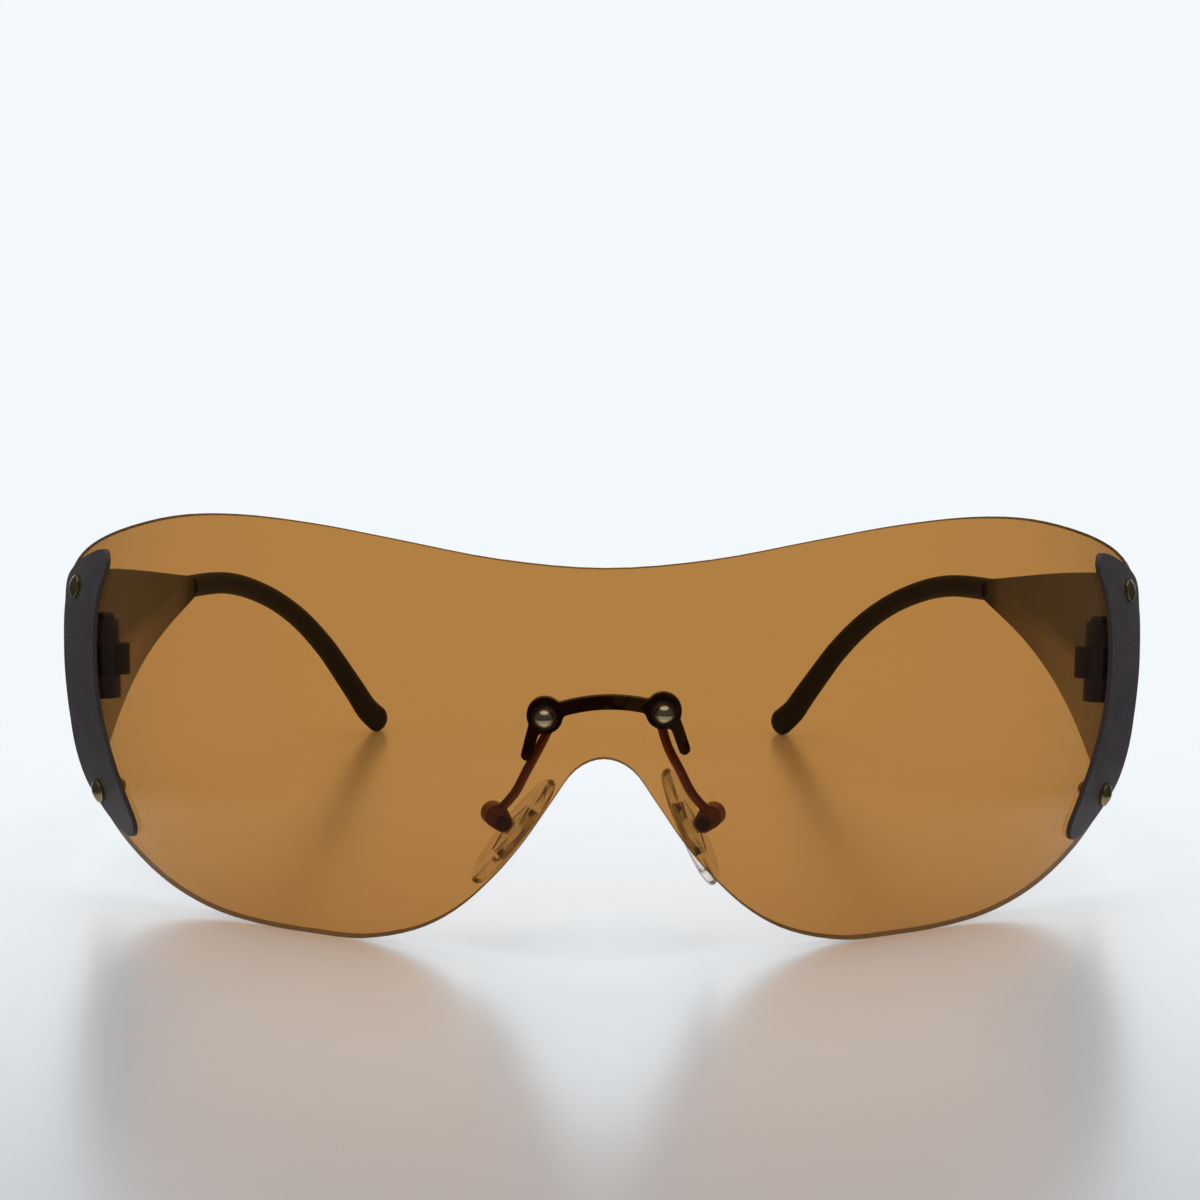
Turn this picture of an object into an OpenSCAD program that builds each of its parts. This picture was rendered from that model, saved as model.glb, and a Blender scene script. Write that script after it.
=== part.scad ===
// Shield sunglasses: a one-piece rimless lens, side plates, screw hinges,
// broad temples with dark tips, and a wire bridge with silicone nose pads.
// Millimetres. +Z is up, the front faces -Y, and X = 0 is the plane of symmetry.
// The glasses stand on the table, Z = 0, on the lens's two lobes and the two tips.

/* [Lens] */
// Radius of the lens's front surface, a sphere
lens_r = 83; // [81:0.5:86]
// Thickness of the lens
lens_t = 1.8; // [1.6:0.1:2.1]
// Width of the lens, seen from the front
lens_w = 145.8; // [143:0.2:148]
// Height of the lens
lens_h = 49.9; // [48:0.1:52]
// How far the middle of the brow line lies below its highest points
brow_dip = 5.1; // [3:0.1:6.5]
// Height of the nose arch above the table
nose_arch_h = 23.5; // [22:0.1:24.5]
// Height of the sphere's centre above the table
lens_centre_h = 25.5; // [24.5:0.1:26.5]

/* [Side plates] */
// Thickness of a side plate
plate_t = 0.6; // [0.5:0.05:0.8]
// Distance of the plate's centre line from the lens's side edge, along the surface
plate_set = 10.1; // [9.9:0.1:10.8]
// Distance of the upper screw from the lens's side edge, along the surface
upper_screw_set = 5.9; // [5.6:0.1:6.6]
// Height of the upper screw above the table
upper_screw_h = 39; // [38:0.1:39.6]
// Distance of the lower screw from the lens's side edge, along the surface
lower_screw_set = 13.3; // [12.8:0.1:13.9]
// Height of the lower screw above the table
lower_screw_h = 13.1; // [12.7:0.1:14]
// Diameter of the screws' domed heads
plate_head_d = 3; // [2.6:0.1:3.3]
// Diameter of the screws' shanks
plate_screw_d = 1.4; // [1.2:0.1:1.6]
// Diameter of the round nuts behind the lens
plate_nut_d = 2.5; // [2.2:0.1:2.8]
// Height of the round nuts
plate_nut_h = 1.4; // [1.1:0.1:1.6]
// Thickness of the washers behind the lens
plate_washer_t = 0.2; // [0.15:0.05:0.3]

/* [Hinges] */
// Distance of the hinge axis from the lens's side edge, along the surface
hinge_set = 5.6; // [5.4:0.1:6]
// Distance of the hinge axis behind the lens's back surface
hinge_depth = 3.4; // [3.3:0.1:3.6]
// Diameter of the knuckles
knuckle_d = 3.2; // [3:0.1:3.4]
// Height of the lowest knuckle's underside above the table
hinge_h = 24; // [23:0.1:25]
// Height of each of the two front knuckles
outer_knuckle_h = 3; // [2.6:0.1:3.2]
// Height of the middle knuckle
middle_knuckle_h = 4.1; // [3.6:0.1:4.4]
// Free height between knuckles
knuckle_gap = 0.15; // [0.1:0.01:0.2]
// Diameter of the hinge screw's shank
hinge_screw_d = 1.2; // [1.1:0.05:1.4]
// Diameter of the hinge screw's head
hinge_head_d = 2.2; // [2:0.1:2.5]
// Reach of the middle knuckle's stop nose, from the axis
stop_reach = 2.9; // [2.7:0.1:3]
// Length of the tongue that passes through the lens, along the hinge
tongue_h = 6; // [5:0.1:7]
// Thickness of the tongue
tongue_t = 2; // [1.6:0.1:2.2]

/* [Temples] */
// Distance of the temple's inner face from the hinge axis
temple_offset = 4.3; // [4.1:0.1:4.5]
// Thickness of the metal temple
temple_t = 1.8; // [1.5:0.1:2]
// Radius that the temple curves by, seen from above
temple_r = 192; // [186:1:200]
// Height of the temple's top edge above the table, at the front
temple_top_h = 40.6; // [40:0.1:41]
// Height of the temple's front lower corner above the table
temple_corner_h = 13; // [12.5:0.1:15]
// Distance from the hinge axis to the metal's end at the tip sleeve
neck_reach = 51.3; // [50:0.1:53]
// Height of the temple at that end
neck_h = 3.4; // [3.1:0.1:3.6]
// Distance from the hinge axis to the tip's end
tip_reach = 113.6; // [112:0.1:115]
// Height of the tip sleeve's section at its front
sleeve_h = 3.7; // [3.5:0.1:4]
// Thickness of the tip sleeve at its front
sleeve_t = 2.9; // [2.7:0.1:3.2]
// Height of the tip sleeve's section at its end
tip_h = 5.2; // [4.6:0.1:5.6]
// Thickness of the tip sleeve at its end
tip_t = 3.6; // [3.2:0.1:3.8]
// How far the right temple is turned inwards as it stands, in degrees
turn_in = 4.2; // [0:0.1:5]

/* [Bridge] */
// Half the distance between the two bridge screws
bridge_half = 6.65; // [6.3:0.05:7]
// Height of the bridge screws above the table
bridge_h = 28.4; // [28:0.1:29.2]
// How far the fitted bridge leans to one side, in degrees
bridge_roll = 2.4; // [0:0.1:3]
// Thickness of the bridge bracket
bracket_t = 1.4; // [1.2:0.1:1.6]
// Diameter of the bracket's round bosses
boss_d = 4.1; // [4:0.1:4.4]
// Height of the bracket's arched bar
bar_h = 1.55; // [1.3:0.05:1.8]
// Rise of the bar's crest above the bridge screws
bar_rise = 2; // [1.8:0.1:2.4]
// Diameter of the cap nuts
cap_nut_d = 2.2; // [2:0.05:2.4]
// Height of the cap nuts
cap_nut_h = 1.3; // [1.25:0.05:1.5]
// Diameter of the bridge screws' shanks
bridge_screw_d = 1.2; // [1:0.05:1.3]
// Outer diameter of the clear bushing's sleeve in the lens
bushing_d = 1.9; // [1.75:0.05:2]
// Diameter of the bushing's flange, the clear ring round the cap nut
flange_d = 2.9; // [2.7:0.05:3.1]
// Thickness of that flange
flange_t = 0.4; // [0.3:0.05:0.5]

/* [Nose pads] */
// Distance of each pad screw from the plane of symmetry
pad_half = 12; // [11.7:0.1:12.3]
// Distance of the pad screws behind the lens's front apex
pad_depth = 10.5; // [10:0.1:12]
// Height of the pad screws above the table
pad_h = 14.3; // [13.8:0.1:15]
// How far the pads' rear edges splay outwards, in degrees
pad_splay = 18; // [14:1:22]
// Lean of the left pad from upright, in degrees
left_lean = 40; // [33:1:42]
// Lean of the right pad from upright, in degrees
right_lean = 25; // [23:1:32]
// Length of a pad
pad_l = 15; // [14:0.1:16]
// Width of a pad
pad_w = 7.5; // [6.5:0.1:8]
// Thickness of a pad
pad_t = 1.6; // [1.5:0.1:2]
// Diameter of the wire of the pad arms
arm_d = 1.1; // [1:0.05:1.2]
// Radius of the pad box round its screw
box_r = 1.1; // [1:0.05:1.2]
// Depth of the pad box, along its screw
box_d = 2.5; // [2.3:0.1:2.8]
// Thickness of the pad core's tang in the box
tang_t = 0.9; // [0.7:0.05:1]
// Diameter of the pad screws' shanks
pad_screw_d = 0.8; // [0.7:0.05:0.9]
// Diameter of the pad screws' heads
pad_head_d = 1.6; // [1.4:0.05:1.8]

/* [Clearances] */
// Gap between surfaces that are clamped together
seat_gap = 0.02; // [0:0.01:0.04]
// Radial clearance of a screw in a piece that it holds still
hold_gap = 0.03; // [0.01:0.01:0.05]
// Radial clearance of a pin that something turns on
run_gap = 0.05; // [0.02:0.01:0.08]
// Gap between the temple's front edge and the lens
temple_gap = 0.7; // [0.6:0.05:0.9]
// Gap between the pad box and the pad
pad_gap = 0.15; // [0.12:0.01:0.25]

/* [Hidden] */
$fn = 64;

gunmetal = [0.22, 0.21, 0.21];
pewter = [0.55, 0.53, 0.48];
brass = [0.62, 0.48, 0.25];
silver = [0.75, 0.74, 0.70];
charcoal = [0.14, 0.14, 0.16];
amber = [0.66, 0.42, 0.18, 0.6];
clear = [0.88, 0.88, 0.84, 0.6];

// ---- curves ----

// One point of a Catmull-Rom curve between b and c
function blend_point(a, b, c, d, t) =
    0.5 * (2 * b + (c - a) * t + (2 * a - 5 * b + 4 * c - d) * t * t
        + (3 * b - a - 3 * c + d) * t * t * t);
// Smooth closed curve through points, with steps points for each of them
function closed_curve(points, steps) =
    let (n = len(points))
    [for (i = [0 : n - 1], k = [0 : steps - 1])
        blend_point(points[(i + n - 1) % n], points[i], points[(i + 1) % n],
            points[(i + 2) % n], k / steps)];
// Smooth open curve through points, from the first to the last
function open_curve(points, steps) =
    let (n = len(points))
    [for (i = [0 : n - 2], k = [0 : steps - (i == n - 2 ? 0 : 1)])
        blend_point(points[max(i - 1, 0)], points[i], points[i + 1],
            points[min(i + 2, n - 1)], k / steps)];
function bezier(a, b, c, d, steps) =
    [for (k = [0 : steps]) let (t = k / steps, u = 1 - t)
        u * u * u * a + 3 * u * u * t * b + 3 * u * t * t * c + t * t * t * d];
function backwards(points) = [for (i = [len(points) - 1 : -1 : 0]) points[i]];
function unit(v) = v / norm(v);

// ---- places on the lens ----

back_r = lens_r - lens_t;
half_w = lens_w / 2;
edge_wrap = asin(half_w / lens_r);
// Turn round the sphere's upright axis of a point that lies set inside the side edge
function wrap_of(set) = edge_wrap - set / lens_r * 180 / PI;
// Slope of the sphere's radius to a point at a height above the table
function slope_of(height) = asin((height - lens_centre_h) / lens_r);

// Moves children to the sphere's centre, +Z out through the lens at that wrap and slope
module at_lens(wrap, slope) {
    translate([0, lens_r, lens_centre_h]) rotate([90 - slope, 0, wrap]) children();
}
// Shell between two radii of the lens's sphere
module lens_shell(inner, outer) {
    translate([0, lens_r, lens_centre_h]) difference() {
        sphere(r = outer, $fn = 200);
        sphere(r = inner, $fn = 200);
    }
}
module mirrored(left) {
    if (left) mirror([1, 0, 0]) children();
    else children();
}

// ---- the whole, set on its origin ----

// The frontmost point is a cap nut's dome, and the hindmost the left tip's end
bridge_wrap = asin(bridge_half / lens_r);
bridge_slope = slope_of(bridge_h);
dome_r = cap_nut_d / 2;
dome_centre = lens_r + flange_t + seat_gap + cap_nut_h - dome_r;
front_y = lens_r - dome_centre * cos(bridge_wrap) * cos(bridge_slope) - dome_r;
hinge_wrap = wrap_of(hinge_set);
axis_r = back_r - hinge_depth;
axis_x = axis_r * sin(hinge_wrap);
axis_y = lens_r - axis_r * cos(hinge_wrap);
rear_y = axis_y + tip_reach;
module placed() {
    translate([0, -(front_y + rear_y) / 2, 0]) children();
}

// ---- lens ----

// Right half of the lens's outline, seen from the front, from the brow to the nose arch
brow_z = lens_h - brow_dip;
lens_half = [
    [0, brow_z], [12, brow_z + 0.9], [24, brow_z + 2.9], [34, lens_h - 0.7],
    [44, lens_h], [half_w - 19.9, lens_h - 0.6], [half_w - 10.9, lens_h - 2.9],
    [half_w - 4.6, lens_h - 5.8], [half_w - 1.2, lens_h - 9.3], [half_w, lens_h - 13.7],
    [half_w - 0.1, 31], [half_w - 0.6, 26], [half_w - 2.1, 19], [half_w - 5.6, 13.1],
    [half_w - 10.4, 7.6], [half_w - 17, 3.2], [half_w - 24, 0.8], [42, 0.05], [35, 0],
    [28.5, 0.2], [22, 2], [17, 5], [12.5, 9.4], [9, nose_arch_h - 9.7],
    [6, nose_arch_h - 5.2], [3.2, nose_arch_h - 1.3], [0, nose_arch_h]
];
lens_outline = let (n = len(lens_half)) closed_curve(concat(lens_half,
    [for (i = [n - 2 : -1 : 1]) [-lens_half[i][0], lens_half[i][1]]]), 4);
// Pyramid with its apex at the sphere's centre, so that the edge is cut square
cut_reach = 1.3;
module lens_cut() {
    rim = [for (p = lens_outline) let (z = p[1] - lens_centre_h)
        cut_reach * [p[0], -sqrt(lens_r * lens_r - p[0] * p[0] - z * z), z]];
    n = len(rim);
    middle = [0, -cut_reach * lens_r, cut_reach * 10];
    translate([0, lens_r, lens_centre_h]) polyhedron(
        points = concat([[0, 0, 0], middle], rim),
        faces = concat(
            [for (i = [0 : n - 1]) [0, 2 + i, 2 + (i + 1) % n]],
            [for (i = [0 : n - 1]) [1, 2 + (i + 1) % n, 2 + i]]),
        convexity = 4);
}

// ---- side hardware places ----

upper_wrap = wrap_of(upper_screw_set);
lower_wrap = wrap_of(lower_screw_set);
module at_plate_screws() {
    at_lens(upper_wrap, slope_of(upper_screw_h)) children();
    at_lens(lower_wrap, slope_of(lower_screw_h)) children();
}
// Moves children to a bridge screw, in the bridge's own lean
module bridge_lean() {
    translate([0, 0, bridge_h]) rotate([0, -bridge_roll, 0]) translate([0, 0, -bridge_h])
        children();
}
module at_bridge_screws() {
    bridge_lean() for (side = [-1, 1]) at_lens(side * bridge_wrap, bridge_slope) children();
}

hinge_mid_h = hinge_h + outer_knuckle_h + knuckle_gap + middle_knuckle_h / 2;
hinge_top_h = hinge_h + 2 * outer_knuckle_h + 2 * knuckle_gap + middle_knuckle_h;
// Box centred on the hinge's wrap, with its length along the radius
module hinge_box(inner, outer, width, low, high) {
    translate([0, lens_r, 0]) rotate([0, 0, hinge_wrap]) translate([-width / 2, -outer, low])
        cube([width, outer - inner, high - low]);
}
module tongue(gap) {
    hinge_box(back_r - 1, lens_r + seat_gap + plate_t / 2 + gap, tongue_t + 2 * gap,
        hinge_mid_h - tongue_h / 2 - gap, hinge_mid_h + tongue_h / 2 + gap);
}

module shield_lens() {
    color(amber) placed() difference() {
        intersection() {
            lens_shell(back_r, lens_r);
            lens_cut();
        }
        for (left = [false, true]) mirrored(left) {
            tongue(0.1);
            at_plate_screws() cylinder(h = lens_r + 2, d = plate_screw_d + 0.2);
        }
        at_bridge_screws() cylinder(h = lens_r + 2, d = bushing_d + 2 * hold_gap);
    }
}

// ---- side plates ----

plate_wrap = wrap_of(plate_set);
// The plate's middle lies a little below the middle between its two screws
plate_mid_h = (upper_screw_h + lower_screw_h) / 2 - 0.55;
// Crescent seen square on, drawn for screws whose heights differ by drawn_span
drawn_span = 25.9;
plate_scale = (upper_screw_h - lower_screw_h) / drawn_span;
plate_points = [
    [-2.9, 18.9], [-4.6, 17.7], [-4.7, 16.1], [-3.8, 14.2], [-3.3, 10], [-3.9, 4.5],
    [-5.3, -1.5], [-7.6, -7.2], [-10, -12.4], [-11.2, -15.7], [-9.8, -17.5], [-6.5, -16.6],
    [-2.2, -14.1], [1.6, -11.3], [4.2, -7], [5.5, -1.2], [6.7, 5], [8.5, 10.8], [9.1, 14.2],
    [6.5, 16.2], [1.5, 18]
];
module side_plate(left) {
    color(gunmetal) placed() mirrored(left) difference() {
        intersection() {
            lens_shell(lens_r + seat_gap, lens_r + seat_gap + plate_t);
            at_lens(plate_wrap, slope_of(plate_mid_h)) linear_extrude(lens_r + 10)
                polygon(closed_curve(plate_scale * plate_points, 4));
        }
        tongue(hold_gap);
        at_plate_screws() cylinder(h = lens_r + 10, d = plate_screw_d + 2 * hold_gap);
    }
}

plate_head_rim = 0.4;
plate_head_dome = 0.5;
plate_face_r = lens_r + 2 * seat_gap + plate_t;
module plate_screws(left) {
    // Sphere whose cap has the dome's height over the rim's width
    foot = plate_head_d / 2 - 0.12;
    cap_r = (foot * foot + plate_head_dome * plate_head_dome) / (2 * plate_head_dome);
    color(brass) placed() mirrored(left) at_plate_screws() {
        translate([0, 0, plate_nut_inner - 0.2])
            cylinder(h = plate_face_r - plate_nut_inner + 0.3, d = plate_screw_d);
        translate([0, 0, plate_face_r]) cylinder(h = plate_head_rim, d = plate_head_d);
        intersection() {
            translate([0, 0, plate_face_r + plate_head_rim + plate_head_dome - cap_r])
                sphere(r = cap_r);
            translate([0, 0, plate_face_r + plate_head_rim / 2]) cylinder(h = 2, d = 2 * foot);
        }
    }
}
// The flat washer seats where its rim meets the curved back of the lens
washer_d = plate_nut_d + 0.8;
washer_outer = sqrt(back_r * back_r - washer_d * washer_d / 4) - seat_gap;
plate_nut_outer = washer_outer - plate_washer_t - seat_gap;
plate_nut_inner = plate_nut_outer - plate_nut_h;
module plate_washers(left) {
    color(brass) placed() mirrored(left) at_plate_screws()
        translate([0, 0, washer_outer - plate_washer_t]) difference() {
            cylinder(h = plate_washer_t, d = washer_d);
            translate([0, 0, -1]) cylinder(h = 3, d = plate_screw_d + 2 * hold_gap);
        }
}
module plate_nuts(left) {
    rounding = 0.3;
    color(brass) placed() mirrored(left) at_plate_screws()
        translate([0, 0, plate_nut_inner]) difference() {
            union() {
                translate([0, 0, rounding])
                    cylinder(h = plate_nut_h - rounding, d = plate_nut_d);
                cylinder(h = rounding, d1 = plate_nut_d - 2 * rounding, d2 = plate_nut_d);
            }
            translate([0, 0, -1]) cylinder(h = 5, d = plate_screw_d + 2 * hold_gap);
        }
}

// ---- hinges ----

base_t = 1.2;
base_w = 4.6;
// The web between a knuckle and the base is a little lower than the knuckle
web_step = 0.1;
module at_axis() {
    translate([axis_x, axis_y, 0]) children();
}
module hinge_front(left) {
    seat_r = back_r - seat_gap;
    color(gunmetal) placed() mirrored(left) {
        intersection() {
            lens_shell(seat_r - base_t, seat_r);
            hinge_box(axis_r, lens_r, base_w, hinge_h, hinge_top_h);
        }
        tongue(0);
        for (low = [hinge_h, hinge_top_h - outer_knuckle_h]) difference() {
            union() {
                at_axis() translate([0, 0, low]) cylinder(h = outer_knuckle_h, d = knuckle_d);
                hinge_box(axis_r, seat_r - base_t / 2, knuckle_d - 0.4, low + web_step,
                    low + outer_knuckle_h - web_step);
            }
            at_axis() translate([0, 0, low - 1])
                cylinder(h = outer_knuckle_h + 2, d = hinge_screw_d + 2 * hold_gap);
        }
    }
}
hinge_head_h = 0.9;
module hinge_screw(left) {
    color(gunmetal) placed() mirrored(left) at_axis() {
        translate([0, 0, hinge_h + 0.2]) cylinder(h = hinge_top_h - hinge_h, d = hinge_screw_d);
        translate([0, 0, hinge_top_h + seat_gap]) {
            cylinder(h = hinge_head_h / 2, d = hinge_head_d);
            translate([0, 0, hinge_head_h / 2])
                cylinder(h = hinge_head_h / 2, d1 = hinge_head_d, d2 = hinge_head_d - 0.7);
        }
    }
}

// ---- temples ----

// The right temple stands turned in a little about its hinge
module turned(left) {
    mirrored(left) at_axis() rotate([0, 0, left ? 0 : turn_in]) children();
}
// Height that reaches past everything
tall = 1.2 * lens_h;
// In the temple's frame the origin is on the hinge axis and Y runs to the rear
bend_x = temple_offset - temple_r;
bend_y = 13;
module temple_wall(inner, outer) {
    translate([bend_x, bend_y, 0]) difference() {
        cylinder(h = tall, r = temple_r + outer, $fn = 400);
        translate([0, 0, -1]) cylinder(h = tall + 2, r = temple_r + inner, $fn = 400);
    }
}
// Distance of the temple's front lower corner behind the hinge axis
corner_reach = 11.5;
// Extrudes an outline given in Y and Z across the temple on the wearer's outer side
module side_view(points) {
    rotate([90, 0, 90]) linear_extrude(2 * temple_offset + temple_t) polygon(points);
}
neck_drop = 4.8;
neck_top_h = temple_top_h - neck_drop;
neck_mid_h = neck_top_h - neck_h / 2;
temple_top = bezier([2, temple_top_h], [0.43 * neck_reach, temple_top_h - 0.6],
    [0.72 * neck_reach, temple_top_h - 3], [neck_reach, neck_top_h], 16);
temple_bottom = bezier([neck_reach, neck_top_h - neck_h],
    [0.82 * neck_reach, neck_top_h - 7], [0.54 * neck_reach, temple_corner_h + 13],
    [corner_reach, temple_corner_h], 16);
temple_front = bezier([corner_reach, temple_corner_h],
    [corner_reach - 1.7, temple_corner_h - 1.2], [corner_reach - 4.5, temple_corner_h + 4],
    [2, temple_corner_h + 14], 10);
module temple(left) {
    color(pewter) placed() turned(left) {
        difference() {
            intersection() {
                temple_wall(0, temple_t);
                side_view(concat(temple_top, temple_bottom, temple_front));
            }
            // The front edge of the open temple follows the lens's back at an even gap
            difference() {
                translate([-tall / 2, -tall / 2, 0]) cube([tall, tall, tall]);
                translate([-axis_x, lens_r - axis_y, lens_centre_h])
                    sphere(r = back_r - temple_gap, $fn = 200);
            }
        }
        core_strip(0);
    }
}

// Centre line of the sleeve in Y and Z: shares of the way from the metal's end to the tip,
// and of the height from the tip's rest to the neck
tip_rest_h = tip_h / 2 - 0.1;
sleeve_shape = [
    [-0.06, 1.003], [0, 1], [0.1, 0.997], [0.2, 0.985], [0.3, 0.952], [0.4, 0.896],
    [0.49, 0.827], [0.58, 0.733], [0.66, 0.622], [0.74, 0.483], [0.81, 0.33],
    [0.87, 0.191], [0.915, 0.08], [0.962, 0]
];
sleeve_line = open_curve([for (p = sleeve_shape) [neck_reach + p[0] * (tip_reach - neck_reach),
    tip_rest_h + p[1] * (neck_mid_h - tip_rest_h)]], 3);
function plan_x(y) = bend_x + sqrt(pow(temple_r + temple_t / 2, 2) - pow(y - bend_y, 2));
function sleeve_point(p) = [plan_x(p[0]), p[0], p[1]];
function along(i, n) = i / (n - 1);

// Tube through points, each with half a width across, half a height, and a section of
// sides points; the first and last sections are closed with fans
module swept(path, across, upright, sides) {
    n = len(path);
    rings = [for (i = [0 : n - 1])
        let (t = unit(path[min(i + 1, n - 1)] - path[max(i - 1, 0)]),
            u = unit(cross(t, [0, 0, 1])), v = cross(u, t))
        for (k = [0 : sides - 1]) let (a = 360 * k / sides)
            path[i] + u * across[i] * cos(a) + v * upright[i] * sin(a)];
    polyhedron(
        points = concat(rings, [path[0], path[n - 1]]),
        faces = concat(
            [for (i = [0 : n - 2], k = [0 : sides - 1]) let (m = (k + 1) % sides)
                [i * sides + k, i * sides + m, (i + 1) * sides + k]],
            [for (i = [0 : n - 2], k = [0 : sides - 1]) let (m = (k + 1) % sides)
                [i * sides + m, (i + 1) * sides + m, (i + 1) * sides + k]],
            [for (k = [0 : sides - 1]) [n * sides, (k + 1) % sides, k]],
            [for (k = [0 : sides - 1])
                [n * sides + 1, (n - 1) * sides + k, (n - 1) * sides + (k + 1) % sides]]),
        convexity = 6);
}
core_h = 1.8;
core_t = 0.9;
core_reach = neck_reach + 0.58 * (tip_reach - neck_reach);
// The metal's thin strip that runs inside the sleeve, and with a gap the sleeve's channel
module core_strip(gap) {
    line = [for (p = sleeve_line) if (p[0] < core_reach) p];
    n = len(line);
    lean = [for (i = [0 : n - 1]) let (t = unit(line[min(i + 1, n - 1)] - line[max(i - 1, 0)]))
        [-t[1], t[0]] * (core_h / 2 + gap)];
    first = unit(line[0] - line[1]);
    last = unit(line[n - 1] - line[n - 2]);
    top = [for (i = [0 : n - 1]) line[i] + lean[i]];
    low = [for (i = [0 : n - 1]) line[i] - lean[i]];
    ends = [for (p = [top[n - 1], low[n - 1]]) p + last * (0.2 + 3 * gap)];
    intersection() {
        temple_wall((temple_t - core_t) / 2 - gap, (temple_t + core_t) / 2 + gap);
        side_view(concat(top, ends, backwards(low)));
    }
}
module tip_sleeve(left) {
    body = [for (p = sleeve_line) sleeve_point(p)];
    n = len(body);
    end_dir = unit(body[n - 1] - body[n - 2]);
    // Rounded end: rings that shrink as a quarter circle
    cap = [20, 40, 58, 74, 86];
    path = concat(body, [for (a = cap) body[n - 1] + end_dir * tip_cap * sin(a)]);
    across = concat([for (i = [0 : n - 1]) sleeve_t / 2 + (tip_t - sleeve_t) / 2
        * swell(along(i, n))], [for (a = cap) tip_t / 2 * cos(a)]);
    upright = concat([for (i = [0 : n - 1]) sleeve_h / 2 + (tip_h - sleeve_h) / 2
        * swell(along(i, n))], [for (a = cap) tip_h / 2 * cos(a)]);
    color(charcoal) placed() turned(left) difference() {
        swept(path, across, upright, 18);
        translate([-tall, -tall, 0]) cube([2 * tall, tall + neck_reach + seat_gap, tall]);
        core_strip(hold_gap);
    }
}
// Length of the sleeve's rounded end, and how its section grows along its length
tip_cap = 2.5;
function swell(t) = t < 0.4 ? 0 : pow((t - 0.4) / 0.6, 1.3);

leaf_t = 1.1;
leaf_low = hinge_mid_h - 4.2;
leaf_l = 8.5;
module hinge_leaf(left) {
    low = hinge_mid_h - middle_knuckle_h / 2;
    arm_turn = 43;
    arm_w = 2.6;
    color(gunmetal) placed() turned(left) difference() {
        union() {
            translate([0, 0, low]) {
                cylinder(h = middle_knuckle_h, d = knuckle_d);
                translate([-stop_reach + 1.1, 0, 0]) cylinder(h = middle_knuckle_h, r = 1.1);
                translate([-stop_reach + 1.1, -1.1, 0])
                    cube([stop_reach - 1.1, 2.2, middle_knuckle_h]);
            }
            intersection() {
                rotate([0, 0, arm_turn]) translate([0, -arm_w / 2, low])
                    cube([temple_offset + 4, arm_w, middle_knuckle_h]);
                translate([bend_x, bend_y, 0])
                    cylinder(h = tall, r = temple_r - seat_gap, $fn = 400);
            }
            intersection() {
                temple_wall(-leaf_t, -seat_gap);
                translate([0, 2.6, leaf_low]) cube([2 * temple_offset, leaf_l, 8.4]);
            }
        }
        translate([0, 0, low - 1]) cylinder(h = middle_knuckle_h + 2,
            d = hinge_screw_d + 2 * run_gap);
    }
}

// ---- bridge ----

bracket_outer = back_r - seat_gap;
boss_centre = [bridge_half, bridge_h];
finger_tip = [bridge_half + 2.2, bridge_h - 4.4];
module bracket_outline() {
    // The bar is part of a ring through both bosses, with its crest at bar_rise
    chord = bridge_half;
    rise = bar_rise - bar_h / 2;
    ring_r = (chord * chord + rise * rise) / (2 * rise);
    offset(r = -0.5) offset(delta = 0.5) {
        for (side = [-1, 1]) {
            translate([side * boss_centre[0], boss_centre[1]]) circle(d = boss_d);
            hull() {
                translate([side * (boss_centre[0] + 1.2), boss_centre[1] - 1.2]) circle(r = 0.7);
                translate([side * (boss_centre[0] + 1.6), boss_centre[1] - 2.4]) circle(r = 0.68);
            }
            hull() {
                translate([side * (boss_centre[0] + 1.6), boss_centre[1] - 2.4]) circle(r = 0.68);
                translate([side * finger_tip[0], finger_tip[1]]) circle(r = 0.66);
            }
        }
        intersection() {
            translate([0, bridge_h + rise - ring_r]) difference() {
                circle(r = ring_r + bar_h / 2, $fn = 160);
                circle(r = ring_r - bar_h / 2, $fn = 160);
            }
            translate([-chord, bridge_h - 1]) square([2 * chord, bar_rise + 3]);
        }
    }
}
module bridge_bracket() {
    color(gunmetal) placed() difference() {
        bridge_lean() intersection() {
            lens_shell(bracket_outer - bracket_t, bracket_outer);
            translate([0, lens_r / 2, 0]) rotate([90, 0, 0]) linear_extrude(lens_r)
                bracket_outline();
        }
        at_bridge_screws() cylinder(h = lens_r, d = bridge_screw_d + 2 * hold_gap);
        for (left = [false, true]) mirrored(left) arm_socket(left, hold_gap);
    }
}
bracket_inner = bracket_outer - bracket_t;
head_d = bridge_screw_d + 0.8;
head_h = 0.7;
module bridge_screws() {
    // The head's flat face meets the bracket's curved back at its rim
    seat = sqrt(pow(bracket_inner, 2) - head_d * head_d / 4) - seat_gap;
    color(gunmetal) placed() at_bridge_screws() {
        translate([0, 0, seat - head_h]) cylinder(h = head_h, d = head_d);
        translate([0, 0, seat - 0.1])
            cylinder(h = lens_r + flange_t + 0.6 - seat, d = bridge_screw_d);
    }
}
module bridge_bushings() {
    color(clear) placed() at_bridge_screws() difference() {
        union() {
            translate([0, 0, back_r + 0.05]) cylinder(h = lens_t, d = bushing_d);
            translate([0, 0, lens_r + seat_gap]) cylinder(h = flange_t, d = flange_d);
        }
        cylinder(h = lens_r + 5, d = bridge_screw_d + 2 * hold_gap);
    }
}
module bridge_cap_nuts() {
    foot = lens_r + flange_t + seat_gap;
    color(silver) placed() at_bridge_screws() difference() {
        union() {
            translate([0, 0, foot + seat_gap]) cylinder(h = dome_centre - foot, d = cap_nut_d);
            translate([0, 0, dome_centre]) sphere(r = dome_r);
        }
        translate([0, 0, lens_r]) cylinder(h = flange_t + 0.7, d = bridge_screw_d + 2 * hold_gap);
        translate([0, 0, foot - 4]) cylinder(h = 4 + seat_gap, d = 4);
    }
}

// ---- nose pads ----

function lean_of(left) = left ? left_lean : right_lean;
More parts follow.
